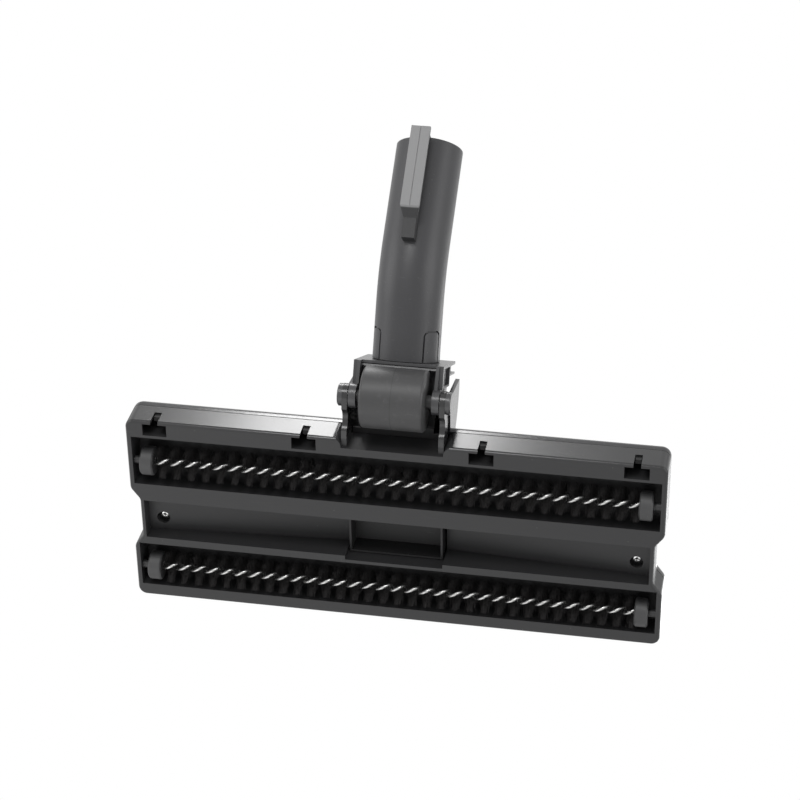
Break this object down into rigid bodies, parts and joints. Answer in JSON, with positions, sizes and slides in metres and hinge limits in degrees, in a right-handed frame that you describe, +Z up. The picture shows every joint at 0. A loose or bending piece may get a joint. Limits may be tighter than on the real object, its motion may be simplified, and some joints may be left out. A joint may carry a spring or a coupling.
{
  "type": "hard floor vacuum nozzle",
  "caption": "Wide hard-floor vacuum nozzle with two spinning brush rolls, a suction channel, a rear roller and a jointed elbow neck.",
  "frame": {"origin": "on the floor, under the middle of the suction channel", "axes": "+X across the nozzle, +Y to the neck at the back, +Z up"},
  "size_m": [0.3, 0.261, 0.1374],
  "materials": {
    "black_plastic": "moulded, satin",
    "cover_plastic": "moulded, glossy",
    "yoke_plastic": "moulded, satin",
    "tube_plastic": "moulded, fine satin",
    "hook_plastic": "moulded, satin",
    "roller_plastic": "moulded, matte, lightly scuffed",
    "wheel_plastic": "moulded, matte",
    "bristle_plastic": "fine black filament",
    "wire_steel": "bright drawn wire",
    "screw_steel": "bright zinc",
    "axle_steel": "ground pin"
  },
  "bodies": {
    "body": {"base_plate": "black_plastic", "top_cover": "cover_plastic", "suction_duct": "black_plastic", "cover_screws": "screw_steel", "pivot_axle": "axle_steel", "axle_cap_left": "black_plastic", "axle_cap_right": "black_plastic"},
    "rear_brush": {"rear_brush_wire": "wire_steel", "rear_brush_bristles": "bristle_plastic", "rear_brush_wheel_left": "wheel_plastic", "rear_brush_wheel_right": "wheel_plastic"},
    "front_brush": {"front_brush_wire": "wire_steel", "front_brush_bristles": "bristle_plastic", "front_brush_wheel_left": "wheel_plastic", "front_brush_wheel_right": "wheel_plastic"},
    "roller": {"roller": "roller_plastic"},
    "yoke": {"neck_yoke": "yoke_plastic"},
    "elbow": {"elbow_tube": "tube_plastic", "parking_hook": "hook_plastic"}
  },
  "joints": [
    {"name": "front_brush_spin", "type": "hinge", "parent": "body", "child": "front_brush", "pos_m": [0, -0.035, 0.0098], "axis": [1, 0, 0], "continuous": true},
    {"name": "rear_brush_spin", "type": "hinge", "parent": "body", "child": "rear_brush", "pos_m": [0, 0.0364, 0.0098], "axis": [1, 0, 0], "continuous": true},
    {"name": "roller_spin", "type": "hinge", "parent": "body", "child": "roller", "pos_m": [0, 0.086, 0.017], "axis": [1, 0, 0], "continuous": true},
    {"name": "neck_tilt", "type": "hinge", "parent": "body", "child": "yoke", "pos_m": [0, 0.086, 0.017], "axis": [1, 0, 0], "range_deg": [-12, 30]},
    {"name": "neck_swivel", "type": "hinge", "parent": "yoke", "child": "elbow", "pos_m": [0, 0.0913, 0.05052], "axis": [0, 0.8965, 0.4431], "range_deg": [-87.5, 92.5]}
  ]
}
